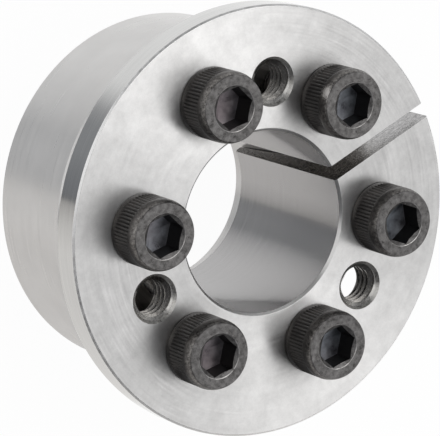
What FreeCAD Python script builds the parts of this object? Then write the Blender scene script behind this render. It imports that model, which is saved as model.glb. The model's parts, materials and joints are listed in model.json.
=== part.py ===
import FreeCAD, Part
import Sketcher
import os

# Keyless shaft locking assembly: a flanged inner ring with a slit taper
# sleeve, an outer ring with the matching taper bore, and six socket head
# cap screws that draw the two rings together.
#
# Origin on the shaft axis at the rear face of the outer ring, +Z towards
# the screw heads, +X through the slit of the inner ring. Millimetres.

SIZES = [
    ("bore_dia", 25.4, "shaft bore of the inner ring"),
    ("bore_edge", 0.35, "chamfer at both ends of the bore"),
    ("flange_dia", 60.0, "outside of the flange"),
    ("flange_thick", 4.4, "thickness of the flange"),
    ("flange_edge", 0.25, "chamfer on the flange's rims"),
    ("ring_dia", 50.8, "outside of the outer ring, which grips the hub"),
    ("ring_length", 16.6, "length of the outer ring"),
    ("ring_edge", 0.5, "chamfer on the outer ring's rims"),
    ("rest_gap", 7.3, "flange to outer ring before the screws are drawn up"),
    ("end_recess", 2.6, "rear face of the outer ring to the sleeve's thin end"),
    ("thin_wall", 1.1, "wall of the sleeve at its thin end"),
    ("cone_angle", 6.0, "slope of both tapers to the axis, in degrees"),
    ("cone_play", 0.16, "radial play between the tapers before drawing up"),
    ("cone_past", 2.0, "stretch of the sleeve's taper past the outer ring"),
    ("neck_step", 0.3, "relief from the taper down to the neck"),
    ("slit_width", 2.2, "saw cut through one side of the inner ring"),
    ("ring_slit_width", 2.2, "saw cut through one side of the outer ring"),
    ("hole_circle", 38.8, "circle of the screws and the jack holes"),
    ("thread_dia", 6.0, "outside of the screw threads"),
    ("thread_play", 0.05, "radial play in the tapped holes"),
    ("thread_mouth", 0.4, "countersink of the outer ring's tapped holes"),
    ("screw_hole_dia", 6.6, "clearance holes in the flange"),
    ("screw_hole_edge", 0.1, "broken edge of the clearance holes"),
    ("jack_core_dia", 5.0, "core of the thread in the jack holes"),
    ("jack_mouth", 0.95, "countersink of the jack holes at the front"),
    ("jack_back_edge", 0.1, "broken edge of the jack holes at the back"),
    ("screw_length", 20.0, "screw below its head"),
    ("tip_edge", 0.8, "chamfer at the screw's tip"),
    ("head_dia", 9.8, "screw head"),
    ("head_height", 5.8, "height of the screw head"),
    ("head_edge", 0.55, "chamfer on the head's upper rim"),
    ("head_foot", 0.2, "chamfer under the head"),
    ("socket_flats", 5.2, "hexagon socket across its flats"),
    ("socket_depth", 2.9, "depth of the hexagon socket"),
    ("socket_point", 0.4, "hollow at the socket's floor"),
    ("socket_mouth", 6.4, "countersink round the hexagon"),
    ("socket_slope", 30.0, "slope of that countersink to the head's face, in degrees"),
    ("knurl_low", 1.0, "lower end of the knurled band on the head"),
    ("knurl_high", 4.4, "upper end of the knurled band"),
    ("knurl_deep", 0.16, "depth of the knurl"),
    ("knurl_width", 0.45, "width of one groove"),
    ("knurl_count", 60, "grooves round the head"),
]

SCREW_COUNT = 6
JACK_COUNT = 3
FIRST_SCREW_ANGLE = 30
FIRST_JACK_ANGLE = 60
RING_SLIT_ANGLE = -120
# How far each screw's hexagon happens to be turned, in degrees.
SOCKET_TURNS = [-7, -9, -9, -9, -9, 14]
# How far a cutting outline reaches past the face that it cuts.
OVERSHOOT = 1.0

doc = FreeCAD.newDocument("locking_assembly")

sheet = doc.addObject("Spreadsheet::Sheet", "Sizes")
for row, (alias, value, meaning) in enumerate(SIZES, start=1):
    sheet.set("A%d" % row, str(value))
    sheet.setAlias("A%d" % row, alias)
    sheet.set("B%d" % row, meaning)
doc.recompute()

# Heights and radii that several pieces share, as expressions on the sheet.
FLANGE_BACK = "(Sizes.ring_length + Sizes.rest_gap)"
FLANGE_FRONT = "(Sizes.ring_length + Sizes.rest_gap + Sizes.flange_thick)"
THIN_END_RADIUS = "(Sizes.bore_dia / 2 + Sizes.thin_wall)"
CONE_TOP = "(Sizes.ring_length + Sizes.cone_past)"
TAPPED_RADIUS = "(Sizes.thread_dia / 2 + Sizes.thread_play)"
HOLE_CENTRE = "(Sizes.hole_circle / 2)"


def value_of(expression):
    """The number that an expression on the sheet has now."""
    result = sheet.evalExpression(expression)
    return float(getattr(result, "Value", result))


def sleeve_cone(height):
    """Radius of the sleeve's taper at a height, as an expression."""
    return "(%s + (%s - Sizes.end_recess) * tan(Sizes.cone_angle))" % (THIN_END_RADIUS, height)


def ring_cone(height):
    """Radius of the outer ring's taper bore at a height."""
    return "(%s + Sizes.cone_play)" % sleeve_cone(height)


def plane_of(body, role):
    return next(item for item in body.Origin.OriginFeatures if item.Role == role)


def new_body(label):
    body = doc.addObject("PartDesign::Body", label)
    body.Label = label
    return body


def new_sketch(body, name, role, turn_axis=None, turn=0):
    """A sketch on an origin plane of the body, turned about turn_axis."""
    sketch = body.newObject("Sketcher::SketchObject", name)
    sketch.AttachmentSupport = [(plane_of(body, role), "")]
    sketch.MapMode = "FlatFace"
    if turn_axis is not None:
        rotation = FreeCAD.Rotation(turn_axis, turn)
        sketch.AttachmentOffset = FreeCAD.Placement(FreeCAD.Vector(), rotation)
    return sketch


def outline(sketch, corners):
    """A closed outline; each corner is a pair of expressions."""
    places = [FreeCAD.Vector(value_of(x), value_of(y), 0) for x, y in corners]
    count = len(places)
    for index in range(count):
        sketch.addGeometry(Part.LineSegment(places[index], places[(index + 1) % count]), False)
    for index in range(count):
        follower = (index + 1) % count
        sketch.addConstraint(Sketcher.Constraint("Coincident", index, 2, follower, 1))
    for index, (x, y) in enumerate(corners):
        for kind, place, expression in (("DistanceX", places[index].x, x), ("DistanceY", places[index].y, y)):
            number = sketch.addConstraint(Sketcher.Constraint(kind, -1, 1, index, 1, place))
            sketch.setExpression("Constraints[%d]" % number, expression)
    return sketch


def revolve(body, name, kind, corners, axis="V_Axis", turn=0):
    """Turn an outline drawn beside the axis, adding or cutting."""
    sketch = new_sketch(body, name + "_outline", "XZ_Plane", FreeCAD.Vector(0, 1, 0), turn)
    outline(sketch, corners)
    feature = body.newObject(kind, name)
    feature.Profile = sketch
    feature.ReferenceAxis = (sketch, [axis])
    feature.Angle = 360
    doc.recompute()
    return feature


def repeat(body, name, feature, count_expression):
    """Repeat a feature round the body's Z axis."""
    pattern = body.newObject("PartDesign::PolarPattern", name)
    pattern.Originals = [feature]
    pattern.Axis = (plane_of(body, "Z_Axis"), [""])
    pattern.Angle = 360
    pattern.setExpression("Occurrences", count_expression)
    body.Tip = pattern
    doc.recompute()
    return pattern


def drill_ring_of_holes(body, name, radius, low, high, low_mouth, high_mouth, turn, count):
    """Through holes with a countersink at each end, round the axis."""
    wall = "%s + %s" % (HOLE_CENTRE, radius)
    corners = [
        (HOLE_CENTRE, "%s - %s" % (low, OVERSHOOT)),
        (HOLE_CENTRE, "%s + %s" % (high, OVERSHOOT)),
        ("%s + %s + %s" % (wall, high_mouth, OVERSHOOT), "%s + %s" % (high, OVERSHOOT)),
        (wall, "%s - %s" % (high, high_mouth)),
        (wall, "%s + %s" % (low, low_mouth)),
        ("%s + %s + %s" % (wall, low_mouth, OVERSHOOT), "%s - %s" % (low, OVERSHOOT)),
    ]
    cut = revolve(body, name, "PartDesign::Groove", corners, "Edge1", turn)
    return repeat(body, name + "s", cut, str(count))


def saw_slit(body, name, width, turn, reach):
    """A cut through one side, from the bore to past the rim."""
    sketch = new_sketch(body, name + "_outline", "XY_Plane", FreeCAD.Vector(0, 0, 1), turn)
    half = "%s / 2" % width
    outline(sketch, [("0", "-" + half), (reach, "-" + half), (reach, half), ("0", half)])
    cut = body.newObject("PartDesign::Pocket", name)
    cut.Profile = sketch
    cut.Type = "ThroughAll"
    cut.Midplane = True
    doc.recompute()
    return cut


def make_outer_ring():
    """Plain outside for the hub, taper bore opening to the front."""
    body = new_body("outer_ring")
    edge = "Sizes.ring_edge"
    radius = "Sizes.ring_dia / 2"
    length = "Sizes.ring_length"
    revolve(body, "turned_ring", "PartDesign::Revolution", [
        (ring_cone("0"), "0"),
        ("%s - %s" % (radius, edge), "0"),
        (radius, edge),
        (radius, "%s - %s" % (length, edge)),
        ("%s - %s" % (radius, edge), length),
        (ring_cone(length), length),
    ])
    drill_ring_of_holes(body, "tapped_hole", TAPPED_RADIUS, "0", length,
                        "Sizes.thread_mouth", "Sizes.thread_mouth", FIRST_SCREW_ANGLE, SCREW_COUNT)
    saw_slit(body, "ring_slit", "Sizes.ring_slit_width", RING_SLIT_ANGLE, "Sizes.ring_dia")
    return body


def make_inner_ring():
    """Flange, relief neck and taper sleeve in one piece, slit right through."""
    body = new_body("inner_ring")
    bore = "Sizes.bore_dia / 2"
    edge = "Sizes.bore_edge"
    rim = "Sizes.flange_dia / 2"
    rim_edge = "Sizes.flange_edge"
    neck = "%s - Sizes.neck_step" % sleeve_cone(CONE_TOP)
    revolve(body, "turned_sleeve", "PartDesign::Revolution", [
        ("%s + %s" % (bore, edge), "Sizes.end_recess"),
        (THIN_END_RADIUS, "Sizes.end_recess"),
        (sleeve_cone(CONE_TOP), CONE_TOP),
        (neck, "%s + Sizes.neck_step" % CONE_TOP),
        (neck, FLANGE_BACK),
        ("%s - %s" % (rim, rim_edge), FLANGE_BACK),
        (rim, "%s + %s" % (FLANGE_BACK, rim_edge)),
        (rim, "%s - %s" % (FLANGE_FRONT, rim_edge)),
        ("%s - %s" % (rim, rim_edge), FLANGE_FRONT),
        ("%s + %s" % (bore, edge), FLANGE_FRONT),
        (bore, "%s - %s" % (FLANGE_FRONT, edge)),
        (bore, "Sizes.end_recess + %s" % edge),
    ])
    drill_ring_of_holes(body, "screw_hole", "Sizes.screw_hole_dia / 2", FLANGE_BACK, FLANGE_FRONT,
                        "Sizes.screw_hole_edge", "Sizes.screw_hole_edge", FIRST_SCREW_ANGLE, SCREW_COUNT)
    drill_ring_of_holes(body, "jack_hole", "Sizes.jack_core_dia / 2", FLANGE_BACK, FLANGE_FRONT,
                        "Sizes.jack_back_edge", "Sizes.jack_mouth", FIRST_JACK_ANGLE, JACK_COUNT)
    saw_slit(body, "sleeve_slit", "Sizes.slit_width", 0, "Sizes.flange_dia")
    return body


def hexagon(sketch, flats):
    """A regular hexagon about the sketch's origin, with one corner on +X."""
    corner = "(%s / 2 / cos(30))" % flats
    outline(sketch, [("%s * cos(%d)" % (corner, turn), "%s * sin(%d)" % (corner, turn))
                     for turn in range(0, 360, 60)])


def make_screw(number):
    """Socket head cap screw, standing on its own origin under the head."""
    body = new_body("clamp_screw_%d" % number)
    shank = "Sizes.thread_dia / 2"
    head = "Sizes.head_dia / 2"
    top = "Sizes.head_height"
    revolve(body, "turned_screw_%d" % number, "PartDesign::Revolution", [
        ("0", "-Sizes.screw_length"),
        ("%s - Sizes.tip_edge" % shank, "-Sizes.screw_length"),
        (shank, "Sizes.tip_edge - Sizes.screw_length"),
        (shank, "0"),
        ("%s - Sizes.head_foot" % head, "0"),
        (head, "Sizes.head_foot"),
        (head, "%s - Sizes.head_edge" % top),
        ("%s - Sizes.head_edge" % head, top),
        ("0", top),
    ])

    socket_outline = new_sketch(body, "socket_outline_%d" % number, "XY_Plane")
    socket_outline.setExpression("AttachmentOffset.Base.z", top)
    hexagon(socket_outline, "Sizes.socket_flats")
    socket = body.newObject("PartDesign::Pocket", "socket_%d" % number)
    socket.Profile = socket_outline
    socket.setExpression("Length", "Sizes.socket_depth")
    doc.recompute()
    floor = "(%s - Sizes.socket_depth)" % top
    revolve(body, "socket_floor_%d" % number, "PartDesign::Groove", [
        ("0", "%s - Sizes.socket_point" % floor),
        ("Sizes.socket_flats / 2", floor),
        ("0", floor),
    ])
    mouth_deep = "(Sizes.socket_mouth / 2 * tan(Sizes.socket_slope))"
    revolve(body, "socket_mouth_%d" % number, "PartDesign::Groove", [
        ("0", "%s - %s" % (top, mouth_deep)),
        ("Sizes.socket_mouth / 2", top),
        ("0", top),
    ])

    tooth_outline = new_sketch(body, "knurl_outline_%d" % number, "XY_Plane")
    tooth_outline.setExpression("AttachmentOffset.Base.z", "Sizes.knurl_high")
    past = "(%s * (Sizes.head_dia + Sizes.knurl_deep) / Sizes.head_dia)" % head
    outline(tooth_outline, [
        ("%s - Sizes.knurl_deep" % head, "0"),
        (past, "-Sizes.knurl_width / 2"),
        (past, "Sizes.knurl_width / 2"),
    ])
    groove = body.newObject("PartDesign::Pocket", "knurl_groove_%d" % number)
    groove.Profile = tooth_outline
    groove.setExpression("Length", "Sizes.knurl_high - Sizes.knurl_low")
    doc.recompute()
    repeat(body, "knurl_%d" % number, groove, "Sizes.knurl_count")

    turn = FIRST_SCREW_ANGLE + 360 * (number - 1) / SCREW_COUNT
    body.setExpression("Placement.Base.x", "Sizes.hole_circle / 2 * cos(%g)" % turn)
    body.setExpression("Placement.Base.y", "Sizes.hole_circle / 2 * sin(%g)" % turn)
    body.setExpression("Placement.Base.z", FLANGE_FRONT)
    body.Placement.Rotation = FreeCAD.Rotation(FreeCAD.Vector(0, 0, 1), SOCKET_TURNS[number - 1])
    return body


made = [make_outer_ring(), make_inner_ring()]
made += [make_screw(number) for number in range(1, SCREW_COUNT + 1)]
doc.recompute()

for item in doc.Objects:
    if "Invalid" in item.State or "Error" in item.State:
        raise RuntimeError("%s failed: %s" % (item.Name, item.State))

os.makedirs("parts", exist_ok=True)
for body in made:
    shape = body.Shape
    if shape.isNull() or not shape.isValid():
        raise RuntimeError("%s has no valid shape" % body.Label)
    print(body.Label, round(shape.Volume, 1), len(shape.Solids), shape.BoundBox)
    shape.exportStep("parts/%s.step" % body.Label)
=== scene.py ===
import json
import math

import bmesh
import bpy
from mathutils import Matrix, Vector


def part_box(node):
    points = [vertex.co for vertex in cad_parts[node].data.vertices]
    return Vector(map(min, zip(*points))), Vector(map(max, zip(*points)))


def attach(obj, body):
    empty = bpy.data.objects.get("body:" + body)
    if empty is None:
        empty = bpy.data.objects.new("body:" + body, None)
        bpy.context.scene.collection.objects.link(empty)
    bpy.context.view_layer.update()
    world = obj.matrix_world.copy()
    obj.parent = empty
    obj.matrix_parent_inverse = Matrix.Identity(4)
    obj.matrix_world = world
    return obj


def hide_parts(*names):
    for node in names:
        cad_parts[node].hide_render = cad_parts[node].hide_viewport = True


# Keyless shaft locking assembly in bare turned steel, with black socket head
# cap screws. Two slit rings, six screws and three tapped jack holes.

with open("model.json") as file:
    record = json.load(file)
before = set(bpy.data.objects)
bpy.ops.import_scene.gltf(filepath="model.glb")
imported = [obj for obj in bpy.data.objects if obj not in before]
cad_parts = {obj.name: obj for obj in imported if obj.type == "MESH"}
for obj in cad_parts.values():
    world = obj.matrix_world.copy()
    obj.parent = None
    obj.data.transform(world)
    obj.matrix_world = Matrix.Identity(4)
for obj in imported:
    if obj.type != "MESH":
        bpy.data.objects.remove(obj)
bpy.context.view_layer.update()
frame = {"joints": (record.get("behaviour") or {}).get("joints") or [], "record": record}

MM = 0.001
_, ring_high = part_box("outer_ring")
sleeve_low, sleeve_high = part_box("inner_ring")
mounts = {mount["name"]: mount for mount in frame["record"]["mounts"]}
joints = {joint["name"]: joint for joint in frame["joints"]}

# Sizes that the frame gives. All lengths are in metres, and heights are over the outer ring's rear face
RING_RADIUS = mounts["hub_seat"]["dims"]["r_mm"] * MM
RING_LENGTH = ring_high.z
BORE_RADIUS = mounts["bore"]["dims"]["r_mm"] * MM
FLANGE_RADIUS = sleeve_high.y
FLANGE_FRONT = sleeve_high.z
SLEEVE_END = sleeve_low.z
HOLE_CIRCLE = Vector(joints["turn_clamp_screw_1"]["pos_m"]).xy.length

# The two rings, as in the part's source
FLANGE_THICK = 4.4 * MM
FLANGE_BACK = FLANGE_FRONT - FLANGE_THICK
FLANGE_EDGE = 0.25 * MM
BORE_EDGE = 0.35 * MM
RING_EDGE = 0.5 * MM
THIN_WALL = 1.1 * MM
CONE_SLOPE = math.tan(math.radians(6.0))
CONE_PLAY = 0.16 * MM
CONE_PAST = 2.0 * MM
NECK_STEP = 0.3 * MM
SLIT_WIDTH = 2.2 * MM
SLEEVE_SLIT = 0
RING_SLIT = -120
# How far the corners that the chamfers leave are rounded off, and in how many steps
RING_ROUND = 0.1 * MM
FLANGE_ROUND = 0.06 * MM
CORNER_STEPS = 2

# Their holes. The angles are in degrees, from the inner ring's slit
SCREW_COUNT = 6
SCREW_STEP = 360 / SCREW_COUNT
FIRST_SCREW = 30
JACK_COUNT = 3
JACK_STEP = 360 / JACK_COUNT
FIRST_JACK = 60
SCREW_HOLE_RADIUS = 3.3 * MM
TAPPED_RADIUS = 3.05 * MM
HOLE_EDGE = 0.1 * MM
THREAD_MOUTH = 0.4 * MM
JACK_MOUTH_RADIUS = 3.45 * MM
JACK_BACK_RADIUS = 2.56 * MM

# The threads. Their roots and crests begin and end at these shares of a turn
PITCH = 1.0 * MM
THREAD_RADIUS = 3.0 * MM
THREAD_PLAY = 0.02 * MM
CORE_RADIUS = 2.45 * MM
SCREW_ROOT = (0, 0.13, 0.87, 1)
SCREW_CREST = (0.44, 0.56)
JACK_CORE_RADIUS = 2.46 * MM
JACK_ROOT = (0, 0.07, 0.93, 1)
JACK_CREST = (0.39, 0.61)
# How deep the jack threads' crests get the painted highlight
CREST_DEEP = 0.1 * MM

# The screws. Their heights are over the flange's front, where the heads stand
HEAD_RADIUS = 4.9 * MM
HEAD_HEIGHT = 5.8 * MM
HEAD_FLAT = 4.58 * MM
HEAD_FOOT = 0.2 * MM
SHOULDER_LOW = 4.4 * MM
SHOULDER_STEPS = 6
SOCKET_FLATS = 5.2 * MM
SOCKET_DEPTH = 3.4 * MM
SOCKET_POINT = 0.4 * MM
SOCKET_MOUTH = 3.1 * MM
SOCKET_LEAD = 0.3 * MM
SOCKET_SLOPE = math.tan(math.radians(30.0))
SCREW_LENGTH = 20.0 * MM
SHANK_INSIDE = 0.05 * MM
TIP_EDGE = 0.8 * MM
WORN_EDGE = 0.09 * MM
# Down to this share of the worn edge a face belongs to it
WORN_SHARE = 0.6
# A fine groove below the knurl
GROOVE_HEIGHT = 0.6 * MM
GROOVE_HALF = 0.05 * MM
GROOVE_DEEP = 0.05 * MM
# The knurl runs out over a short length at both ends. The profile is one tooth's, in shares of the depth
KNURL_LOW = 1.0 * MM
KNURL_HIGH = 4.3 * MM
KNURL_DEEP = 0.2 * MM
KNURL_RUNOUT = 0.18 * MM
KNURL_TEETH = 60
KNURL_PROFILE = (0.0, 0.35, 1.0, 0.35)
# How far each socket is turned in the photograph, in degrees
HEXAGON_TURNS = (-7, -9, -9, -9, -9, 14)
# A knock on the shoulder of the first screw's head, where the skin has come off, and how far it spreads
KNOCK = (13.9 * MM, 13.4 * MM, 33.5 * MM)
KNOCK_SIZE = 0.48 * MM

# How finely round shapes are divided
ROUND_STEPS = 288
HOLE_STEPS = 64
THREAD_STEPS = 48
# A thread is made from this many turns below its end, and then cut off there
TURNS_BELOW = 1.5
# The angle in degrees from which an edge is kept: turned edges are crisper than the rest
CRISP = 8.0
SOFT = 28.0

# How far a cutter stands out, how deep one surface sinks into another, and what counts as no distance
OVERSHOOT = 1.0 * MM
SINK = 0.01 * MM
TINY = 0.001 * MM
# How near a point lies to a size that it belongs to, and how far inside a zone it does
NEAR = 0.01 * MM
INSIDE = 0.1 * MM
# Points closer than this are one, on turned shapes and on threads
MERGED = 0.0005 * MM
THREAD_MERGED = 0.002 * MM
# How far past their own size the bore's and the rim's finish begins, and how far a tapped hole's reaches
FINISH_PAST = 0.05 * MM
CUT_PAST = 0.5 * MM
# How much of a face's normal lies along the axis that is asked for: all of it, nearly all, and so on down
SQUARE = 0.99
FACING = 0.9
LEANING = 0.5
EDGEWISE = 0.3
UPRIGHT = 0.1

# Noise lies mostly between these values
NOISE_LOW = 0.3
NOISE_HIGH = 0.7
# A quarter turn, which takes the spread of a reflection from along the lathe's marks to across them
ACROSS_MARKS = 0.25
# The slits' walls carry full painted shade up to the first radius and none from the second
SHADE_FULL_RADIUS = 17.0 * MM
SHADE_GONE_RADIUS = 24.0 * MM
# How much of the skin the scuffs and painted highlight take at the top of a shoulder, at noise's low and high end
SCUFF_AND_SHEEN_SPREAD = (-0.5, 1.6)

# What stands behind the part, by its height over the table: -1 straight down, 1 straight up
STUDIO_UP = (0.4378, 0.8991, 0.0)
STUDIO_WALLS = (
    (-1.0, "f1efed"), (-0.25, "efedeb"), (-0.12, "dedcda"), (-0.005, "bab8b6"),
    (0.005, "6c6e71"), (0.03, "828488"), (0.12, "898b8f"), (0.25, "989a9d"),
    (0.36, "999b9e"), (0.42, "adaeb0"), (0.5, "fbfbfb"), (1.0, "ffffff"),
)
# Round white panels beside the part: where they stand, and the cosines of their edge and middle
BACKDROP = ((0.62, -0.1, -0.78), 0.72, 0.86)
LEFT_SCREEN = ((-0.78, 0.6, -0.2), 0.8, 0.95)
SIDE_LAMP = ((-0.52, 0.62, 0.58), 0.88, 0.93)
# The camera's side of the room, by the distance from the middle of an upright pale screen
SCREEN_ACROSS = (0.996, -0.087, 0.0)
SCREEN_MIDDLE = 0.45
CAMERA_SIDE = ((0.0, "ffffff"), (0.12, "f9f9f9"), (0.3, "d2d3d4"), (0.6, "aaabad"), (1.0, "56575a"))
# Where that side is dim: towards its ceiling and its floor, by the height over the table, and low over
# the flange's face, by the height over the flange. Each fades from the first value to the second
CEILING = (0.6, 0.85)
FLOOR = (-0.45, -0.85)
ASIDE = (0.72, 0.3)
ASIDE_SHARE = 0.85
DIM = "4c4d4f"
# How far to each side of the flange's plane the two halves of the room pass into each other
HALVES_MEET = 0.25
# The even light that matt surfaces get
EVEN = "f4f5f7"
EVEN_STRENGTH = 0.9
# The floor, and how white the camera sees it: the rest is its own colour, with the part's shadow
FLOOR_SIZE = 3.0
FLOOR_COLOUR = "f2f2f2"
FLOOR_ROUGHNESS = 0.9
FLOOR_WHITE = 0.96
# Soft lamps: name, direction, distance, width and height in metres, and watts
SOFTBOXES = (
    ("key", (0.46, 0.16, 0.86), 0.9, 0.5, 0.7, 1.35),
    ("fill", (0.3, -0.3, 0.9), 0.9, 0.5, 0.5, 0.2),
)

# The camera: what it looks at and from how far, in millimetres, and its angles in degrees
CAMERA_AIM = (-6.066, 4.144, 28.3)
CAMERA_AWAY = 419.84
CAMERA_AZIMUTH = -137.759
CAMERA_ELEVATION = 55.563
CAMERA_ROLL = 108.262
CAMERA_SENSOR = 36.0
CAMERA_LENS = 253.9
CAMERA_SHIFT = (0.0025, 0.0064)
CAMERA_CLIP = (0.01, 50.0)


def linear(hex_colour):
    """The linear colour of an sRGB hex value."""
    parts = [int(hex_colour[place:place + 2], 16) / 255 for place in (0, 2, 4)]
    return [part / 12.92 if part <= 0.04045 else ((part + 0.055) / 1.055) ** 2.4 for part in parts] + [1.0]


def node(tree, kind, inputs=None, stops=(), **settings):
    """Add a node with its settings, its values, its links and, where it is a ramp, its hex colours."""
    made = tree.nodes.new(kind)
    for name, value in settings.items():
        setattr(made, name, value)
    for socket, value in (inputs or {}).items():
        if isinstance(value, bpy.types.NodeSocket):
            tree.links.new(value, made.inputs[socket])
        else:
            made.inputs[socket].default_value = value
    for number, (position, colour) in enumerate(stops):
        ramp = made.color_ramp.elements
        stop = ramp[number] if number < 2 else ramp.new(position)
        stop.position = position
        stop.color = linear(colour)
    return made


def new_material(name, metallic):
    """A material with an empty tree, its output node and its shader."""
    material = bpy.data.materials.new(name)
    material.use_nodes = True
    tree = material.node_tree
    tree.nodes.clear()
    shader = node(tree, "ShaderNodeBsdfPrincipled", {"Metallic": metallic})
    node(tree, "ShaderNodeOutputMaterial", {"Surface": shader.outputs["BSDF"]})
    return material, tree, shader


def marks(tree, stretch_mm, detail=3.0, roughness=0.6):
    """Noise whose grain is stretch_mm long along X, Y and Z."""
    place = node(tree, "ShaderNodeTexCoord").outputs["Object"]
    scaled = node(tree, "ShaderNodeMapping", {
        "Vector": place, "Scale": [1 / (size * MM) for size in stretch_mm],
    })
    return node(tree, "ShaderNodeTexNoise", {
        "Vector": scaled.outputs["Vector"], "Scale": 1.0, "Detail": detail, "Roughness": roughness,
    }).outputs["Fac"]


def rings(tree, across_mm, along_mm):
    """Noise in fine circles round Z, as a lathe tool leaves them on a face."""
    place = node(tree, "ShaderNodeTexCoord").outputs["Object"]
    parts = node(tree, "ShaderNodeSeparateXYZ", {"Vector": place})
    flat = node(tree, "ShaderNodeCombineXYZ", {"X": parts.outputs["X"], "Y": parts.outputs["Y"]})
    radius = node(tree, "ShaderNodeVectorMath", {0: flat.outputs["Vector"]}, operation="LENGTH")
    polar = node(tree, "ShaderNodeCombineXYZ", {
        "X": parts.outputs["X"], "Y": parts.outputs["Y"], "Z": radius.outputs["Value"],
    })
    scaled = node(tree, "ShaderNodeMapping", {
        "Vector": polar.outputs["Vector"],
        "Scale": [1 / (size * MM) for size in (along_mm, along_mm, across_mm)],
    })
    return node(tree, "ShaderNodeTexNoise", {
        "Vector": scaled.outputs["Vector"], "Scale": 1.0, "Detail": 3.0, "Roughness": 0.6,
    }).outputs["Fac"]


def tones(dark, light):
    """The stops of a ramp that passes between two colours around noise's middle."""
    return (NOISE_LOW, dark), (NOISE_HIGH, light)


def about_middle(value, low, high):
    """The values of a map range that lays noise's middle out from low to high."""
    return {"Value": value, "From Min": NOISE_LOW, "From Max": NOISE_HIGH, "To Min": low, "To Max": high}


def finish(tree, shader, colour, gloss, smooth, rough, relief_mm=0.0, relief=None):
    """Give a shader its colour, its roughness from marks, and the relief of those or other marks."""
    roughness = node(tree, "ShaderNodeMapRange", about_middle(gloss, smooth, rough))
    tree.links.new(colour, shader.inputs["Base Color"])
    tree.links.new(roughness.outputs["Result"], shader.inputs["Roughness"])
    if relief_mm:
        raised = node(tree, "ShaderNodeBump", {
            "Height": gloss if relief is None else relief, "Distance": relief_mm * MM, "Strength": 1.0,
        })
        tree.links.new(raised.outputs["Normal"], shader.inputs["Normal"])


def plain_finish(tree, shader, pattern, dark, light, gloss, smooth, rough, relief_mm=0.0):
    """A finish whose colour lies between two hex values, by a pattern that may differ from its gloss."""
    ramp = node(tree, "ShaderNodeValToRGB", {"Fac": pattern}, stops=tones(dark, light))
    finish(tree, shader, ramp.outputs["Color"], gloss, smooth, rough, relief_mm)


def lathe_marks(tree, shader, amount):
    """Spread the gloss across the lathe's marks, which run round Z."""
    shader.inputs["Anisotropic"].default_value = amount
    shader.inputs["Anisotropic Rotation"].default_value = ACROSS_MARKS
    around_z = node(tree, "ShaderNodeTangent", direction_type="RADIAL", axis="Z")
    tree.links.new(around_z.outputs["Tangent"], shader.inputs["Tangent"])


def faced_steel():
    """Bare carbon steel, fine-faced on a lathe: pale and satin, with soft reflections."""
    material, tree, shader = new_material("faced_steel", 1.0)
    # The tool's circles are about 0.1 mm apart, and drawn coarser so that they show
    circles = rings(tree, 0.25, 9.0)
    # Faint clouds where the face was wiped and handled
    clouds = marks(tree, (4.0, 4.0, 4.0), detail=7.0, roughness=0.8)
    lathe_marks(tree, shader, 0.82)
    plain_finish(tree, shader, clouds, "cccbca", "e7e6e5", circles, 0.31, 0.4, relief_mm=0.002)
    return material


def rounded_edge_highlight():
    """The flange's front edge, broken with a file, coloured near white as a painted highlight that shows as a fine
    pale line.
    """
    material, tree, shader = new_material("rounded_edge_highlight", 1.0)
    # Nicks from handling, up to about a millimetre long
    nicks = marks(tree, (0.8, 0.8, 0.8), detail=4.0)
    # Painted highlight: near-white colours for the edge's pale line
    plain_finish(tree, shader, nicks, "eeedec", "ffffff", nicks, 0.36, 0.5)
    return material


def turned_steel():
    """The outer ring's seat, turned to size: satin, with hair-fine turning marks round it."""
    material, tree, shader = new_material("turned_steel", 1.0)
    # The feed of a finishing cut is about 0.1 mm, and drawn coarser so that it shows
    hair = marks(tree, (14.0, 14.0, 0.3))
    clouds = marks(tree, (7.0, 7.0, 9.0))
    lathe_marks(tree, shader, 1.0)
    plain_finish(tree, shader, clouds, "dad9d8", "e2e1e0", hair, 0.27, 0.34, relief_mm=0.005)
    return material


def rim_steel():
    """The flange's rim, turned and then burnished by the tool, so that it mirrors more than the rest."""
    material, tree, shader = new_material("rim_steel", 1.0)
    # The feed again, coarser than the real 0.1 mm
    hair = marks(tree, (10.0, 10.0, 0.35))
    plain_finish(tree, shader, hair, "c9c9c8", "d4d4d3", hair, 0.1, 0.14, relief_mm=0.001)
    return material


def bore_steel():
    """The honed bore, which is smooth enough to mirror the slit and the room."""
    material, tree, shader = new_material("bore_steel", 1.0)
    # Honing leaves marks of a few hundredths of a millimetre, which are drawn coarser so that they show
    hair = marks(tree, (9.0, 9.0, 0.5))
    lathe_marks(tree, shader, 1.0)
    plain_finish(tree, shader, hair, "b0afaf", "b7b6b6", hair, 0.2, 0.24, relief_mm=0.0004)
    return material


def sawn_steel():
    """Slit walls left as sawn: coarse and grainy, with painted shade that darkens them inwards."""
    material, tree, shader = new_material("sawn_steel", 1.0)
    # A slitting saw's marks, a few tenths of a millimetre apart
    grain = marks(tree, (0.5, 0.5, 0.35), detail=5.0, roughness=0.75)
    place = node(tree, "ShaderNodeTexCoord").outputs["Object"]
    flat = node(tree, "ShaderNodeVectorMath", {0: place, 1: (1.0, 1.0, 0.0)}, operation="MULTIPLY")
    radius = node(tree, "ShaderNodeVectorMath", {0: flat.outputs["Vector"]}, operation="LENGTH")
    # Painted shade: the walls' colour darkens inwards, from the second radius to the first
    out_of_shade = node(tree, "ShaderNodeMapRange", {
        "Value": radius.outputs["Value"], "From Min": SHADE_FULL_RADIUS, "From Max": SHADE_GONE_RADIUS,
        "To Min": 0.0, "To Max": 1.0,
    })
    shaded_wall = node(tree, "ShaderNodeValToRGB", {"Fac": grain}, stops=tones("676461", "989592"))
    unshaded_wall = node(tree, "ShaderNodeValToRGB", {"Fac": grain}, stops=tones("6a6969", "cdcccc"))
    wall = node(tree, "ShaderNodeMixRGB", {
        "Fac": out_of_shade.outputs["Result"], "Color1": shaded_wall.outputs["Color"], "Color2": unshaded_wall.outputs["Color"],
    })
    finish(tree, shader, wall.outputs["Color"], grain, 0.2, 0.32, relief_mm=0.03)
    return material


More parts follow.
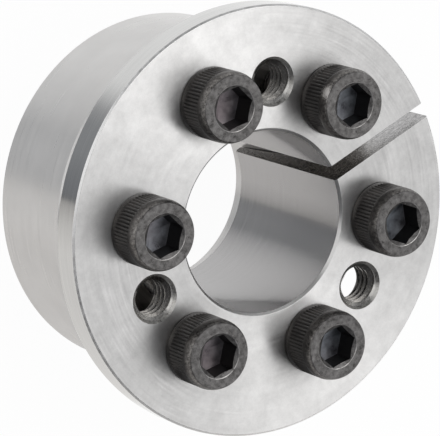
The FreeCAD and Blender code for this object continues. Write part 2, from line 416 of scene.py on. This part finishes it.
def cut_steel():
    """Countersinks and tapped holes, as the tool tore them: bright and rough."""
    material, tree, shader = new_material("cut_steel", 1.0)
    # Torn grain, a few tenths of a millimetre long
    grain = marks(tree, (0.3, 0.3, 0.3), detail=4.0, roughness=0.7)
    plain_finish(tree, shader, grain, "a09e9a", "dad8d5", grain, 0.22, 0.5, relief_mm=0.02)
    return material


def gap_shaded_steel():
    """The outer ring's front face and the relief neck, turned, and coloured dark as painted shade in the gap."""
    material, tree, shader = new_material("gap_shaded_steel", 1.0)
    # The tool's circles, drawn coarser than the real 0.1 mm so that they show
    circles = rings(tree, 0.3, 9.0)
    # Painted shade: dark colours for surfaces that lie in the gap between the rings
    plain_finish(tree, shader, circles, "7a7774", "a3a09c", circles, 0.3, 0.4)
    return material


def crest_highlight_steel():
    """Crests of the tapped threads, coloured bright as painted highlight, under a film of oil."""
    # The film dulls the metal, so it counts as a little less metallic
    material, tree, shader = new_material("crest_highlight_steel", 0.75)
    # Chatter of the drill, some tenths of a millimetre long
    grain = marks(tree, (0.4, 0.4, 0.4))
    # Painted highlight: pale colours that make the crests show as bright lines
    plain_finish(tree, shader, grain, "bab8b5", "e0deda", grain, 0.15, 0.3, relief_mm=0.01)
    return material


def shaded_thread_flank():
    """Flanks of the tapped threads, with fine chips, coloured dark as painted shade between the crests."""
    material, tree, shader = new_material("shaded_thread_flank", 1.0)
    # Fine chips, a quarter of a millimetre across
    grain = marks(tree, (0.25, 0.25, 0.25), detail=4.0, roughness=0.7)
    # Painted shade: dark colours between the bright crests
    plain_finish(tree, shader, grain, "4c4a48", "a19e9a", grain, 0.12, 0.3, relief_mm=0.02)
    return material


def black_oxide():
    """Alloy steel with a black oxide skin from a hot bath: charcoal and dull, grey on the shoulders from scuffs and
    painted highlight.
    """
    material, tree, shader = new_material("black_oxide", 0.85)
    # Patches of the bath, about a millimetre wide, and the skin's own grit, drawn as coarse as shows
    clouds = marks(tree, (1.2, 1.2, 1.2), detail=6.0)
    grit = marks(tree, (0.18, 0.18, 0.18), detail=4.0)
    place = node(tree, "ShaderNodeTexCoord").outputs["Object"]
    # Bare steel within a ragged outline round the knock
    off = node(tree, "ShaderNodeVectorMath", {0: place, 1: KNOCK}, operation="DISTANCE")
    outline = node(tree, "ShaderNodeMapRange", about_middle(grit, -KNOCK_SIZE, KNOCK_SIZE))
    ragged = node(tree, "ShaderNodeMath", {0: off.outputs["Value"], 1: outline.outputs["Result"]})
    bare = node(tree, "ShaderNodeMapRange", {
        "Value": ragged.outputs["Value"], "From Min": 2 * KNOCK_SIZE, "From Max": KNOCK_SIZE,
        "To Min": 0.0, "To Max": 1.0,
    })
    # Scuffs, some tenths of a millimetre long, that get more towards the head's top: partly wear, partly painted
    # highlight where the shoulder catches the light
    parts = node(tree, "ShaderNodeSeparateXYZ", {"Vector": place})
    high = node(tree, "ShaderNodeMapRange", {
        "Value": parts.outputs["Z"], "From Min": FLANGE_FRONT + SHOULDER_LOW,
        "From Max": FLANGE_FRONT + HEAD_HEIGHT, "To Min": 0.0, "To Max": 1.0,
    })
    scuffs = marks(tree, (0.4, 0.4, 0.4), detail=5.0, roughness=0.8)
    taken = node(tree, "ShaderNodeMapRange", about_middle(scuffs, *SCUFF_AND_SHEEN_SPREAD))
    scuffs_and_sheen = node(tree, "ShaderNodeMath", {0: high.outputs["Result"], 1: taken.outputs["Result"]},
                   operation="MULTIPLY", use_clamp=True)
    bath = node(tree, "ShaderNodeValToRGB", {"Fac": clouds}, stops=tones("393736", "504d4b"))
    # Painted highlight and wear: the skin turns grey where that mask is high
    scuffed_and_sheened_skin = node(tree, "ShaderNodeMixRGB", {
        "Fac": scuffs_and_sheen.outputs["Value"], "Color1": bath.outputs["Color"], "Color2": linear("8f8c89"),
    })
    skin = node(tree, "ShaderNodeMixRGB", {
        "Fac": bare.outputs["Result"], "Color1": scuffed_and_sheened_skin.outputs["Color"], "Color2": linear("b9b6b3"),
    })
    finish(tree, shader, skin.outputs["Color"], clouds, 0.28, 0.42, relief_mm=0.01, relief=grit)
    return material


def rubbed_oxide():
    """The heads' flat tops, where forging and handling have mottled the black skin to grey."""
    material, tree, shader = new_material("rubbed_oxide", 0.85)
    # Dents of the forging die, under a millimetre wide, and the scuffs between them
    mottle = marks(tree, (0.7, 0.7, 0.7), detail=6.0, roughness=0.75)
    scuffs = marks(tree, (0.35, 0.35, 0.35), detail=5.0, roughness=0.7)
    plain_finish(tree, shader, mottle, "343231", "888685", scuffs, 0.25, 0.5, relief_mm=0.05)
    return material


def socket_oxide():
    """The socket's floor, left shiny by the punch: blue-grey in one screw, brownish in the next."""
    material, tree, shader = new_material("socket_oxide", 0.9)
    clouds = marks(tree, (1.6, 1.6, 1.6), detail=4.0)
    # Wider than a head, so that each screw has its own tint
    batch = marks(tree, (11.0, 11.0, 11.0), detail=1.0)
    share = node(tree, "ShaderNodeMapRange", about_middle(batch, 0.0, 1.0))
    bluish = node(tree, "ShaderNodeValToRGB", {"Fac": clouds}, stops=tones("53575d", "7f878e"))
    brownish = node(tree, "ShaderNodeValToRGB", {"Fac": clouds}, stops=tones("5e575a", "8e8486"))
    skin = node(tree, "ShaderNodeMixRGB", {
        "Fac": share.outputs["Result"], "Color1": bluish.outputs["Color"], "Color2": brownish.outputs["Color"],
    })
    finish(tree, shader, skin.outputs["Color"], clouds, 0.26, 0.4, relief_mm=0.02)
    return material


def punched_oxide():
    """The socket's walls, punched and oxide-blackened, coloured nearly black: darker than the skin outside the
    socket.
    """
    material, tree, shader = new_material("punched_oxide", 0.6)
    # The punch's streaks, along its way in
    streaks = marks(tree, (0.3, 0.3, 2.0))
    plain_finish(tree, shader, streaks, "141313", "232222", streaks, 0.35, 0.5)
    return material


def edge_oxide():
    """The socket's mouth, where the key has worn the black skin to a bright line."""
    material, tree, shader = new_material("edge_oxide", 0.9)
    # Wear that comes and goes along about a millimetre
    wear = marks(tree, (1.0, 1.0, 1.0), detail=5.0, roughness=0.7)
    plain_finish(tree, shader, wear, "6e6b69", "eeebe8", wear, 0.25, 0.4)
    return material


FACED = faced_steel()
TURNED = turned_steel()
RIM = rim_steel()
BORE = bore_steel()
SAWN = sawn_steel()
CUT = cut_steel()
GAP_SHADE = gap_shaded_steel()
CREST_HIGHLIGHT = crest_highlight_steel()
BLACK = black_oxide()
RUBBED = rubbed_oxide()
SOCKET = socket_oxide()
PUNCHED = punched_oxide()
WORN = edge_oxide()
FLANK_SHADE = shaded_thread_flank()
EDGE_HIGHLIGHT = rounded_edge_highlight()
HEAD_SKINS = (BLACK, RUBBED, SOCKET, PUNCHED, WORN)


def around(turn, radius=1.0, height=0.0):
    """A point on a circle round Z; turn in degrees."""
    angle = math.radians(turn)
    return Vector((radius * math.cos(angle), radius * math.sin(angle), height))


def lathe(mesh, outline, steps, closed=True):
    """Turn an outline of (radius, height) points once round Z."""
    points = [mesh.verts.new((radius, 0, height)) for radius, height in outline]
    pairs = zip(points, points[1:] + points[:1]) if closed else zip(points, points[1:])
    edges = [mesh.edges.new(pair) for pair in pairs]
    bmesh.ops.spin(mesh, geom=points + edges, cent=(0, 0, 0), axis=(0, 0, 1), angle=math.tau,
                   steps=steps, use_merge=True)
    bmesh.ops.remove_doubles(mesh, verts=mesh.verts, dist=MERGED)
    bmesh.ops.recalc_face_normals(mesh, faces=mesh.faces)


def rounded(outline, corners, radius):
    """The outline with the corners of these indexes rounded off by short arcs."""
    made = []
    for index, point in enumerate(outline):
        if index not in corners:
            made.append(point)
            continue
        here = Vector(point)
        back = (Vector(outline[index - 1]) - here).normalized()
        ahead = (Vector(outline[(index + 1) % len(outline)]) - here).normalized()
        half = back.angle(ahead) / 2
        reach = radius / math.tan(half)
        centre = here + (back + ahead).normalized() * (radius / math.sin(half))
        first = (here + back * reach - centre).normalized()
        last = (here + ahead * reach - centre).normalized()
        for step in range(CORNER_STEPS + 1):
            made.append(tuple(centre + first.slerp(last, step / CORNER_STEPS) * radius))
    return made


def drilled_hole(mesh, turn, radius, low, high, low_mouth, high_mouth):
    """A cutter for a through hole with a countersink at each end."""
    hole = bmesh.new()
    lathe(hole, [
        (0, low - OVERSHOOT),
        (radius + low_mouth + OVERSHOOT, low - OVERSHOOT),
        (radius, low + low_mouth),
        (radius, high - high_mouth),
        (radius + high_mouth + OVERSHOOT, high + OVERSHOOT),
        (0, high + OVERSHOOT),
    ], HOLE_STEPS, closed=False)
    bmesh.ops.translate(hole, verts=hole.verts, vec=around(turn, HOLE_CIRCLE))
    join(mesh, hole)


def saw_cut(mesh, turn, reach, low, high):
    """A cutter for a slit from the axis outwards."""
    cut = bmesh.new()
    bmesh.ops.create_cube(cut, size=1.0)
    bmesh.ops.scale(cut, verts=cut.verts, vec=(reach, SLIT_WIDTH, high - low + 2 * OVERSHOOT))
    bmesh.ops.translate(cut, verts=cut.verts, vec=(reach / 2, 0, (low + high) / 2))
    bmesh.ops.rotate(cut, verts=cut.verts, cent=(0, 0, 0), matrix=Matrix.Rotation(math.radians(turn), 3, "Z"))
    join(mesh, cut)


def join(mesh, other):
    """Add another bmesh to this one and free it."""
    spare = bpy.data.meshes.new("spare")
    other.to_mesh(spare)
    other.free()
    mesh.from_mesh(spare)
    bpy.data.meshes.remove(spare)


def to_object(mesh, name):
    """Make an object of a bmesh, at the origin."""
    data = bpy.data.meshes.new(name)
    mesh.to_mesh(data)
    mesh.free()
    made = bpy.data.objects.new(name, data)
    bpy.context.scene.collection.objects.link(made)
    return made


def cut_away(name, body, cutters):
    """The body less the cutters, as one finished object."""
    made = to_object(body, name)
    tools = to_object(cutters, name + "_tools")
    cut = made.modifiers.new("cut", "BOOLEAN")
    cut.operation = "DIFFERENCE"
    cut.solver = "EXACT"
    cut.object = tools
    graph = bpy.context.evaluated_depsgraph_get()
    data = bpy.data.meshes.new_from_object(made.evaluated_get(graph))
    made.modifiers.clear()
    made.data = data
    bpy.data.objects.remove(tools)
    return made


def finish_piece(piece, body, sharp_angle=SOFT):
    """Smooth the round faces, keep the edges, and let it ride on its body."""
    for face in piece.data.polygons:
        face.use_smooth = True
    piece.data.set_sharp_from_angle(angle=math.radians(sharp_angle))
    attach(piece, body)


def dress(piece, materials, choose):
    """Give each face the one of the materials that choose(centre, normal) returns."""
    piece.data.materials.clear()
    for material in materials:
        piece.data.materials.append(material)
    for face in piece.data.polygons:
        face.material_index = materials.index(choose(face.center, face.normal))


def sleeve_radius(height):
    """The sleeve's taper outside."""
    return BORE_RADIUS + THIN_WALL + (height - SLEEVE_END) * CONE_SLOPE


def is_slit_wall(centre, normal, turn):
    """Whether a face belongs to the walls of the slit at this turn."""
    across = around(turn + 90)
    return abs(abs(centre.dot(across)) - SLIT_WIDTH / 2) < NEAR and abs(normal.dot(across)) > SQUARE


def near_hole(centre, first, count, radius):
    """Whether a point lies within radius of one of these hole axes."""
    places = [around(first + 360 * index / count, HOLE_CIRCLE) for index in range(count)]
    return any((centre.xy - place.xy).length < radius for place in places)


def make_outer_ring():
    """Plain outside for the hub, with a taper bore that opens to the front."""
    ring = bmesh.new()
    outline = [
        (sleeve_radius(0) + CONE_PLAY, 0),
        (RING_RADIUS - RING_EDGE, 0),
        (RING_RADIUS, RING_EDGE),
        (RING_RADIUS, RING_LENGTH - RING_EDGE),
        (RING_RADIUS - RING_EDGE, RING_LENGTH),
        (sleeve_radius(RING_LENGTH) + CONE_PLAY, RING_LENGTH),
    ]
    lathe(ring, rounded(outline, range(len(outline)), RING_ROUND), ROUND_STEPS)
    cutters = bmesh.new()
    for number in range(SCREW_COUNT):
        drilled_hole(cutters, FIRST_SCREW + SCREW_STEP * number, TAPPED_RADIUS, 0, RING_LENGTH,
                     THREAD_MOUTH, THREAD_MOUTH)
    saw_cut(cutters, RING_SLIT, 2 * RING_RADIUS, 0, RING_LENGTH)
    piece = cut_away("outer_ring_turned", ring, cutters)

    def choose(centre, normal):
        if is_slit_wall(centre, normal, RING_SLIT):
            return SAWN
        if near_hole(centre, FIRST_SCREW, SCREW_COUNT, TAPPED_RADIUS + CUT_PAST) and abs(normal.z) < SQUARE:
            return CUT
        # A ring face that looks forward, into the gap, gets the painted shade
        if abs(normal.z) > FACING:
            return GAP_SHADE if normal.z > 0 else FACED
        return TURNED

    dress(piece, (TURNED, FACED, SAWN, CUT, GAP_SHADE), choose)
    finish_piece(piece, "outer_ring", CRISP)
    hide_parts("outer_ring")


def make_inner_ring():
    """Flange, relief neck and taper sleeve in one piece, slit right through."""
    ring = bmesh.new()
    cone_top = RING_LENGTH + CONE_PAST
    neck = sleeve_radius(cone_top) - NECK_STEP
    sleeve = [
        (BORE_RADIUS + BORE_EDGE, SLEEVE_END),
        (sleeve_radius(SLEEVE_END), SLEEVE_END),
        (sleeve_radius(cone_top), cone_top),
        (neck, cone_top + NECK_STEP),
        (neck, FLANGE_BACK),
    ]
    flange = [
        (FLANGE_RADIUS - FLANGE_EDGE, FLANGE_BACK),
        (FLANGE_RADIUS, FLANGE_BACK + FLANGE_EDGE),
        (FLANGE_RADIUS, FLANGE_FRONT - FLANGE_EDGE),
        (FLANGE_RADIUS - FLANGE_EDGE, FLANGE_FRONT),
        (BORE_RADIUS + BORE_EDGE, FLANGE_FRONT),
        (BORE_RADIUS, FLANGE_FRONT - BORE_EDGE),
    ]
    outline = sleeve + flange + [(BORE_RADIUS, SLEEVE_END + BORE_EDGE)]
    corners = range(len(sleeve), len(sleeve + flange))
    lathe(ring, rounded(outline, corners, FLANGE_ROUND), ROUND_STEPS)
    cutters = bmesh.new()
    for number in range(SCREW_COUNT):
        drilled_hole(cutters, FIRST_SCREW + SCREW_STEP * number, SCREW_HOLE_RADIUS, FLANGE_BACK,
                     FLANGE_FRONT, HOLE_EDGE, HOLE_EDGE)
    for number in range(JACK_COUNT):
        drilled_hole(cutters, FIRST_JACK + JACK_STEP * number, TAPPED_RADIUS, FLANGE_BACK,
                     FLANGE_FRONT, 0.0, JACK_MOUTH_RADIUS - TAPPED_RADIUS)
    saw_cut(cutters, SLEEVE_SLIT, 2 * FLANGE_RADIUS, SLEEVE_END, FLANGE_FRONT)
    piece = cut_away("inner_ring_turned", ring, cutters)

    def choose(centre, normal):
        radius = centre.xy.length
        if is_slit_wall(centre, normal, SLEEVE_SLIT):
            return SAWN
        if near_hole(centre, FIRST_JACK, JACK_COUNT, JACK_MOUTH_RADIUS) and abs(normal.z) < SQUARE:
            return CUT
        if normal.z > EDGEWISE and radius > FLANGE_RADIUS - FLANGE_EDGE:
            return EDGE_HIGHLIGHT
        if radius < BORE_RADIUS + FINISH_PAST:
            return BORE
        if radius > FLANGE_RADIUS - FLANGE_EDGE - FINISH_PAST:
            return RIM
        # The neck, in the gap, gets the painted shade
        if radius < neck + NECK_STEP and cone_top < centre.z < FLANGE_BACK:
            return GAP_SHADE
        return FACED

    dress(piece, (FACED, RIM, BORE, SAWN, CUT, GAP_SHADE, EDGE_HIGHLIGHT), choose)
    finish_piece(piece, "inner_ring", CRISP)
    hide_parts("inner_ring")


def helix(mesh, root, crest, root_shares, crest_shares, low, high):
    """A right-handed thread surface between two radii, cut off square at low and high."""
    start = low - PITCH * TURNS_BELOW
    points = [mesh.verts.new((root if share in root_shares else crest, 0, start + share * PITCH))
              for share in root_shares[:2] + crest_shares + root_shares[2:]]
    edges = [mesh.edges.new(pair) for pair in zip(points, points[1:])]
    bmesh.ops.spin(mesh, geom=points + edges, cent=(0, 0, 0), axis=(0, 0, 1), angle=math.tau,
                   dvec=(0, 0, PITCH / THREAD_STEPS), steps=THREAD_STEPS)
    turn = mesh.verts[:] + mesh.edges[:] + mesh.faces[:]
    for number in range(1, math.ceil((high - start) / PITCH) + 1):
        copy = bmesh.ops.duplicate(mesh, geom=turn)["geom"]
        verts = [item for item in copy if isinstance(item, bmesh.types.BMVert)]
        bmesh.ops.translate(mesh, verts=verts, vec=(0, 0, number * PITCH))
    bmesh.ops.remove_doubles(mesh, verts=mesh.verts, dist=THREAD_MERGED)
    for height, outward in ((low, -1), (high, 1)):
        geometry = mesh.verts[:] + mesh.edges[:] + mesh.faces[:]
        bmesh.ops.bisect_plane(mesh, geom=geometry, plane_co=(0, 0, height), plane_no=(0, 0, outward),
                               clear_outer=True)


def set_radius(vertex, radius):
    """Move a vertex to this distance from the Z axis."""
    now = vertex.co.xy.length
    vertex.co.xy = vertex.co.xy * (radius / now)


def make_jack_threads():
    """The turns of thread in the jack holes, cut back by the countersinks."""
    pattern = bmesh.new()
    back_end = FLANGE_BACK + SINK
    front_end = FLANGE_FRONT - (JACK_MOUTH_RADIUS - TAPPED_RADIUS)
    helix(pattern, TAPPED_RADIUS + SINK, JACK_CORE_RADIUS, JACK_ROOT, JACK_CREST, back_end, front_end)
    for vertex in pattern.verts:
        front = JACK_MOUTH_RADIUS - (FLANGE_FRONT - vertex.co.z)
        back = JACK_BACK_RADIUS - (vertex.co.z - FLANGE_BACK)
        least = max(front, back)
        if vertex.co.xy.length < least:
            set_radius(vertex, least)
    rim = [edge for edge in pattern.edges if edge.is_boundary
           and all(abs(vertex.co.z - back_end) < TINY for vertex in edge.verts)]
    grown = bmesh.ops.extrude_edge_only(pattern, edges=rim)["geom"]
    for vertex in [item for item in grown if isinstance(item, bmesh.types.BMVert)]:
        set_radius(vertex, TAPPED_RADIUS + 2 * SINK)
    # The thread is seen from its axis, so its faces point inwards
    bmesh.ops.recalc_face_normals(pattern, faces=pattern.faces)
    bmesh.ops.reverse_faces(pattern, faces=pattern.faces)
    for number in range(JACK_COUNT):
        middle = around(FIRST_JACK + JACK_STEP * number, HOLE_CIRCLE)
        thread = pattern.copy()
        bmesh.ops.translate(thread, verts=thread.verts, vec=middle)
        piece = to_object(thread, "jack_thread_%d" % (number + 1))

        def choose(centre, normal):
            radius = (centre.xy - middle.xy).length
            sunk = JACK_MOUTH_RADIUS - (FLANGE_FRONT - centre.z)
            return CREST_HIGHLIGHT if radius < max(JACK_CORE_RADIUS, sunk) + CREST_DEEP else FLANK_SHADE

        dress(piece, (CREST_HIGHLIGHT, FLANK_SHADE), choose)
        finish_piece(piece, "inner_ring")
    pattern.free()


def hexagon_radius(angle):
    """Distance from the middle to the hexagon's edge, one corner on +X."""
    sixth = math.tau / 6
    return SOCKET_FLATS / 2 / math.cos(angle % sixth - sixth / 2)


def shoulder():
    """The arc from the head's side, where it starts level with it, to the worn edge of its flat top."""
    rise = HEAD_HEIGHT - WORN_EDGE - SHOULDER_LOW
    inset = HEAD_RADIUS - HEAD_FLAT
    radius = (rise ** 2 + inset ** 2) / (2 * inset)
    full = math.asin(rise / radius)
    turns = [full * step / SHOULDER_STEPS for step in range(SHOULDER_STEPS + 1)]
    return [(HEAD_RADIUS - radius * (1 - math.cos(turn)), SHOULDER_LOW + radius * math.sin(turn)) for turn in turns]


def head_skin(face):
    """Which of the head's skins a face has, for a head that stands at the origin."""
    centre = face.calc_center_median()
    radius = centre.xy.length
    below = HEAD_HEIGHT - centre.z
    if face.normal.z > SQUARE and below < TINY:
        return RUBBED
    if face.normal.z > LEANING and SOCKET_DEPTH - TINY < below < SOCKET_DEPTH + SOCKET_POINT:
        return SOCKET
    if abs(face.normal.z) < UPRIGHT and radius < SOCKET_MOUTH and below > 0:
        return PUNCHED
    if face.normal.z > LEANING and below < WORN_EDGE * WORN_SHARE:
        return WORN if radius < SOCKET_MOUTH + WORN_EDGE else RUBBED
    if face.normal.z > LEANING and radius < SOCKET_MOUTH:
        return RUBBED
    return BLACK


def screw_shape():
    """Socket head cap screw with a knurled head and a rolled thread, upright at the origin."""
    screw = bmesh.new()
    top = HEAD_HEIGHT
    floor = top - SOCKET_DEPTH
    socket = SOCKET_FLATS / 2
    outline = [
        (0, 0),
        (HEAD_RADIUS - HEAD_FOOT, 0),
        (HEAD_RADIUS, HEAD_FOOT),
        (HEAD_RADIUS, GROOVE_HEIGHT - GROOVE_HALF),
        (HEAD_RADIUS - GROOVE_DEEP, GROOVE_HEIGHT),
        (HEAD_RADIUS, GROOVE_HEIGHT + GROOVE_HALF),
        (HEAD_RADIUS, KNURL_LOW),
        (HEAD_RADIUS, KNURL_LOW + KNURL_RUNOUT),
        (HEAD_RADIUS, KNURL_HIGH - KNURL_RUNOUT),
        (HEAD_RADIUS, KNURL_HIGH),
        *shoulder(),
        (HEAD_FLAT - WORN_EDGE, top),
        (SOCKET_MOUTH + WORN_EDGE, top),
        (SOCKET_MOUTH, top - WORN_EDGE * SOCKET_SLOPE),
        (socket, top - SOCKET_LEAD),
        (socket, floor),
        (0, floor - SOCKET_POINT),
    ]
    steps_a_tooth = len(KNURL_PROFILE)
    lathe(screw, outline, KNURL_TEETH * steps_a_tooth, closed=False)
    for vertex in screw.verts:
        angle = math.atan2(vertex.co.y, vertex.co.x) % math.tau
        radius = vertex.co.xy.length
        if abs(radius - socket) < NEAR:
            # The round hole becomes the hexagon, whose corners reach further up the cone of its mouth
            across = hexagon_radius(angle)
            set_radius(vertex, across)
            if vertex.co.z > floor + INSIDE:
                vertex.co.z = top - (SOCKET_MOUTH + WORN_EDGE - across) * SOCKET_SLOPE
        elif KNURL_LOW + INSIDE < vertex.co.z < KNURL_HIGH - INSIDE and radius > HEAD_RADIUS - NEAR:
            step = round(angle / math.tau * KNURL_TEETH * steps_a_tooth) % steps_a_tooth
            set_radius(vertex, HEAD_RADIUS - KNURL_DEEP * KNURL_PROFILE[step])
    for face in screw.faces:
        face.material_index = HEAD_SKINS.index(head_skin(face))
    shank = bmesh.new()
    helix(shank, CORE_RADIUS, THREAD_RADIUS - THREAD_PLAY, SCREW_ROOT, SCREW_CREST, -SCREW_LENGTH, SHANK_INSIDE)
    for vertex in shank.verts:
        most = THREAD_RADIUS - TIP_EDGE + (vertex.co.z + SCREW_LENGTH)
        if vertex.co.xy.length > most:
            set_radius(vertex, most)
    bmesh.ops.holes_fill(shank, edges=[edge for edge in shank.edges if edge.is_boundary])
    bmesh.ops.recalc_face_normals(shank, faces=shank.faces)
    join(screw, shank)
    return screw


def make_screws():
    """The six screws, each with its socket turned as in the photograph."""
    pattern = screw_shape()
    for number, turn in enumerate(HEXAGON_TURNS):
        screw = pattern.copy()
        bmesh.ops.rotate(screw, verts=screw.verts, cent=(0, 0, 0),
                         matrix=Matrix.Rotation(math.radians(turn), 3, "Z"))
        bmesh.ops.translate(screw, verts=screw.verts,
                            vec=around(FIRST_SCREW + SCREW_STEP * number, HOLE_CIRCLE, FLANGE_FRONT))
        piece = to_object(screw, "cap_screw_%d" % (number + 1))
        for material in HEAD_SKINS:
            piece.data.materials.append(material)
        body = "clamp_screw_%d" % (number + 1)
        finish_piece(piece, body)
        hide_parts(body)
    pattern.free()


def make_floor():
    """A pale floor that shows white to the camera, keeps a soft shadow, and isn't mirrored in the steel."""
    floor = bmesh.new()
    bmesh.ops.create_grid(floor, x_segments=1, y_segments=1, size=FLOOR_SIZE)
    piece = to_object(floor, "floor")
    material, tree, shader = new_material("pale_floor", 0.0)
    shader.inputs["Base Color"].default_value = linear(FLOOR_COLOUR)
    shader.inputs["Roughness"].default_value = FLOOR_ROUGHNESS
    glow = node(tree, "ShaderNodeEmission", {"Strength": 1.0})
    rays = node(tree, "ShaderNodeLightPath")
    share = node(tree, "ShaderNodeMath", {0: rays.outputs["Is Camera Ray"], 1: FLOOR_WHITE}, operation="MULTIPLY")
    white = node(tree, "ShaderNodeMixShader", {
        "Fac": share.outputs["Value"], 1: shader.outputs["BSDF"], 2: glow.outputs["Emission"],
    })
    clear = node(tree, "ShaderNodeBsdfTransparent")
    mirrored = node(tree, "ShaderNodeMath", {
        0: rays.outputs["Is Glossy Ray"], 1: rays.outputs["Is Transmission Ray"],
    }, operation="MAXIMUM")
    both = node(tree, "ShaderNodeMixShader", {
        "Fac": mirrored.outputs["Value"], 1: white.outputs["Shader"], 2: clear.outputs["BSDF"],
    })
    output = next(item for item in tree.nodes if item.type == "OUTPUT_MATERIAL")
    tree.links.new(both.outputs["Shader"], output.inputs["Surface"])
    piece.data.materials.append(material)


def with_panel(tree, behind, toward, place, edge, middle):
    """The studio's colour with a round white panel in front of it."""
    near = node(tree, "ShaderNodeVectorMath", {0: toward, 1: Vector(place).normalized()}, operation="DOT_PRODUCT")
    share = node(tree, "ShaderNodeMapRange", {
        "Value": near.outputs["Value"], "From Min": edge, "From Max": middle, "To Min": 0.0, "To Max": 1.0,
    }, interpolation_type="SMOOTHSTEP")
    return node(tree, "ShaderNodeMixRGB", {
        "Fac": share.outputs["Result"], "Color1": behind, "Color2": linear("ffffff"),
    }).outputs["Color"]


def with_dimness(tree, lit, height, start, end, most):
    """The studio's colour, which gets dim as the height goes from start to end, by most at its end."""
    share = node(tree, "ShaderNodeMapRange", {
        "Value": height, "From Min": start, "From Max": end, "To Min": 0.0, "To Max": most,
    })
    return node(tree, "ShaderNodeMixRGB", {
        "Fac": share.outputs["Result"], "Color1": lit, "Color2": linear(DIM),
    }).outputs["Color"]


def make_world():
    """A pale studio, white to the camera.

    The photograph was taken with the part on its rim, so what its steel mirrors from
    behind is a white table on one side of STUDIO_UP and on the other a grey room that
    gets brighter towards the lamps overhead. On the camera's side the room has one
    upright pale screen, which the flange's face mirrors, and is dim towards its
    ceiling, its floor and the flange's plane. Three round panels stand in front.
    """
    world = bpy.data.worlds.new("studio")
    bpy.context.scene.world = world
    world.use_nodes = True
    tree = world.node_tree
    tree.nodes.clear()
    toward = node(tree, "ShaderNodeTexCoord").outputs["Generated"]
    rise = node(tree, "ShaderNodeVectorMath", {0: toward, 1: STUDIO_UP}, operation="DOT_PRODUCT")
    # The ramp's positions run from 0 to 1, and the heights from -1 to 1
    place = node(tree, "ShaderNodeMapRange", {
        "Value": rise.outputs["Value"], "From Min": -1.0, "From Max": 1.0, "To Min": 0.0, "To Max": 1.0,
    })
    behind = node(tree, "ShaderNodeValToRGB", {"Fac": place.outputs["Result"]}, stops=[
        ((height + 1) / 2, colour) for height, colour in (STUDIO_WALLS[0], STUDIO_WALLS[-1], *STUDIO_WALLS[1:-1])
    ])
    across = node(tree, "ShaderNodeVectorMath", {0: toward, 1: SCREEN_ACROSS}, operation="DOT_PRODUCT")
    aside = node(tree, "ShaderNodeMath", {0: across.outputs["Value"], 1: SCREEN_MIDDLE}, operation="SUBTRACT")
    off = node(tree, "ShaderNodeMath", {0: aside.outputs["Value"]}, operation="ABSOLUTE")
    screen = node(tree, "ShaderNodeValToRGB", {"Fac": off.outputs["Value"]},
                  stops=(CAMERA_SIDE[0], CAMERA_SIDE[-1], *CAMERA_SIDE[1:-1]))
    before = screen.outputs["Color"]
    for start, end in (CEILING, FLOOR):
        before = with_dimness(tree, before, rise.outputs["Value"], start, end, 1.0)
    parts = node(tree, "ShaderNodeSeparateXYZ", {"Vector": toward})
    before = with_dimness(tree, before, parts.outputs["Z"], *ASIDE, ASIDE_SHARE)
    side = node(tree, "ShaderNodeMapRange", {
        "Value": parts.outputs["Z"], "From Min": -HALVES_MEET, "From Max": HALVES_MEET,
        "To Min": 0.0, "To Max": 1.0,
    })
    seen = node(tree, "ShaderNodeMixRGB", {
        "Fac": side.outputs["Result"], "Color1": behind.outputs["Color"], "Color2": before,
    }).outputs["Color"]
    for panel in (BACKDROP, LEFT_SCREEN, SIDE_LAMP):
        seen = with_panel(tree, seen, toward, *panel)
    # Reflections see the room, matt surfaces an even light, and the camera plain white
    mirrored = node(tree, "ShaderNodeBackground", {"Color": seen, "Strength": 1.0})
    even = node(tree, "ShaderNodeBackground", {"Color": linear(EVEN), "Strength": EVEN_STRENGTH})
    white = node(tree, "ShaderNodeBackground", {"Color": linear("ffffff"), "Strength": 1.0})
    rays = node(tree, "ShaderNodeLightPath")
    lit = node(tree, "ShaderNodeMixShader", {
        "Fac": rays.outputs["Is Glossy Ray"], 1: even.outputs["Background"], 2: mirrored.outputs["Background"],
    })
    both = node(tree, "ShaderNodeMixShader", {
        "Fac": rays.outputs["Is Camera Ray"], 1: lit.outputs["Shader"], 2: white.outputs["Background"],
    })
    node(tree, "ShaderNodeOutputWorld", {"Surface": both.outputs["Shader"]})


def softbox(name, toward, distance, width, height, power):
    """A soft oblong lamp that shines on the object from this direction."""
    lamp = bpy.data.lights.new(name, "AREA")
    lamp.shape = "RECTANGLE"
    lamp.size = width
    lamp.size_y = height
    lamp.energy = power
    made = bpy.data.objects.new(name, lamp)
    bpy.context.scene.collection.objects.link(made)
    direction = Vector(toward).normalized()
    made.location = direction * distance
    made.rotation_euler = direction.to_track_quat("Z", "Y").to_euler()
    made.visible_camera = False


def make_camera():
    """The photograph's place: in front, above and to the left, rolled over."""
    data = bpy.data.cameras.new("camera")
    camera = bpy.data.objects.new("camera", data)
    bpy.context.scene.collection.objects.link(camera)
    bpy.context.scene.camera = camera
    azimuth = math.radians(CAMERA_AZIMUTH)
    elevation = math.radians(CAMERA_ELEVATION)
    back = Vector((math.sin(azimuth) * math.cos(elevation), -math.cos(azimuth) * math.cos(elevation),
                   math.sin(elevation)))
    camera.location = Vector(CAMERA_AIM) * MM + back * CAMERA_AWAY * MM
    roll = Matrix.Rotation(math.radians(CAMERA_ROLL), 3, "Z")
    camera.rotation_euler = ((-back).to_track_quat("-Z", "Y").to_matrix() @ roll).to_euler()
    data.sensor_width = CAMERA_SENSOR
    data.lens = CAMERA_LENS
    data.shift_x, data.shift_y = CAMERA_SHIFT
    data.clip_start, data.clip_end = CAMERA_CLIP


make_outer_ring()
make_inner_ring()
make_jack_threads()
make_screws()
make_floor()
make_world()
for box in SOFTBOXES:
    softbox(*box)
make_camera()
bpy.context.scene.view_settings.view_transform = "Standard"
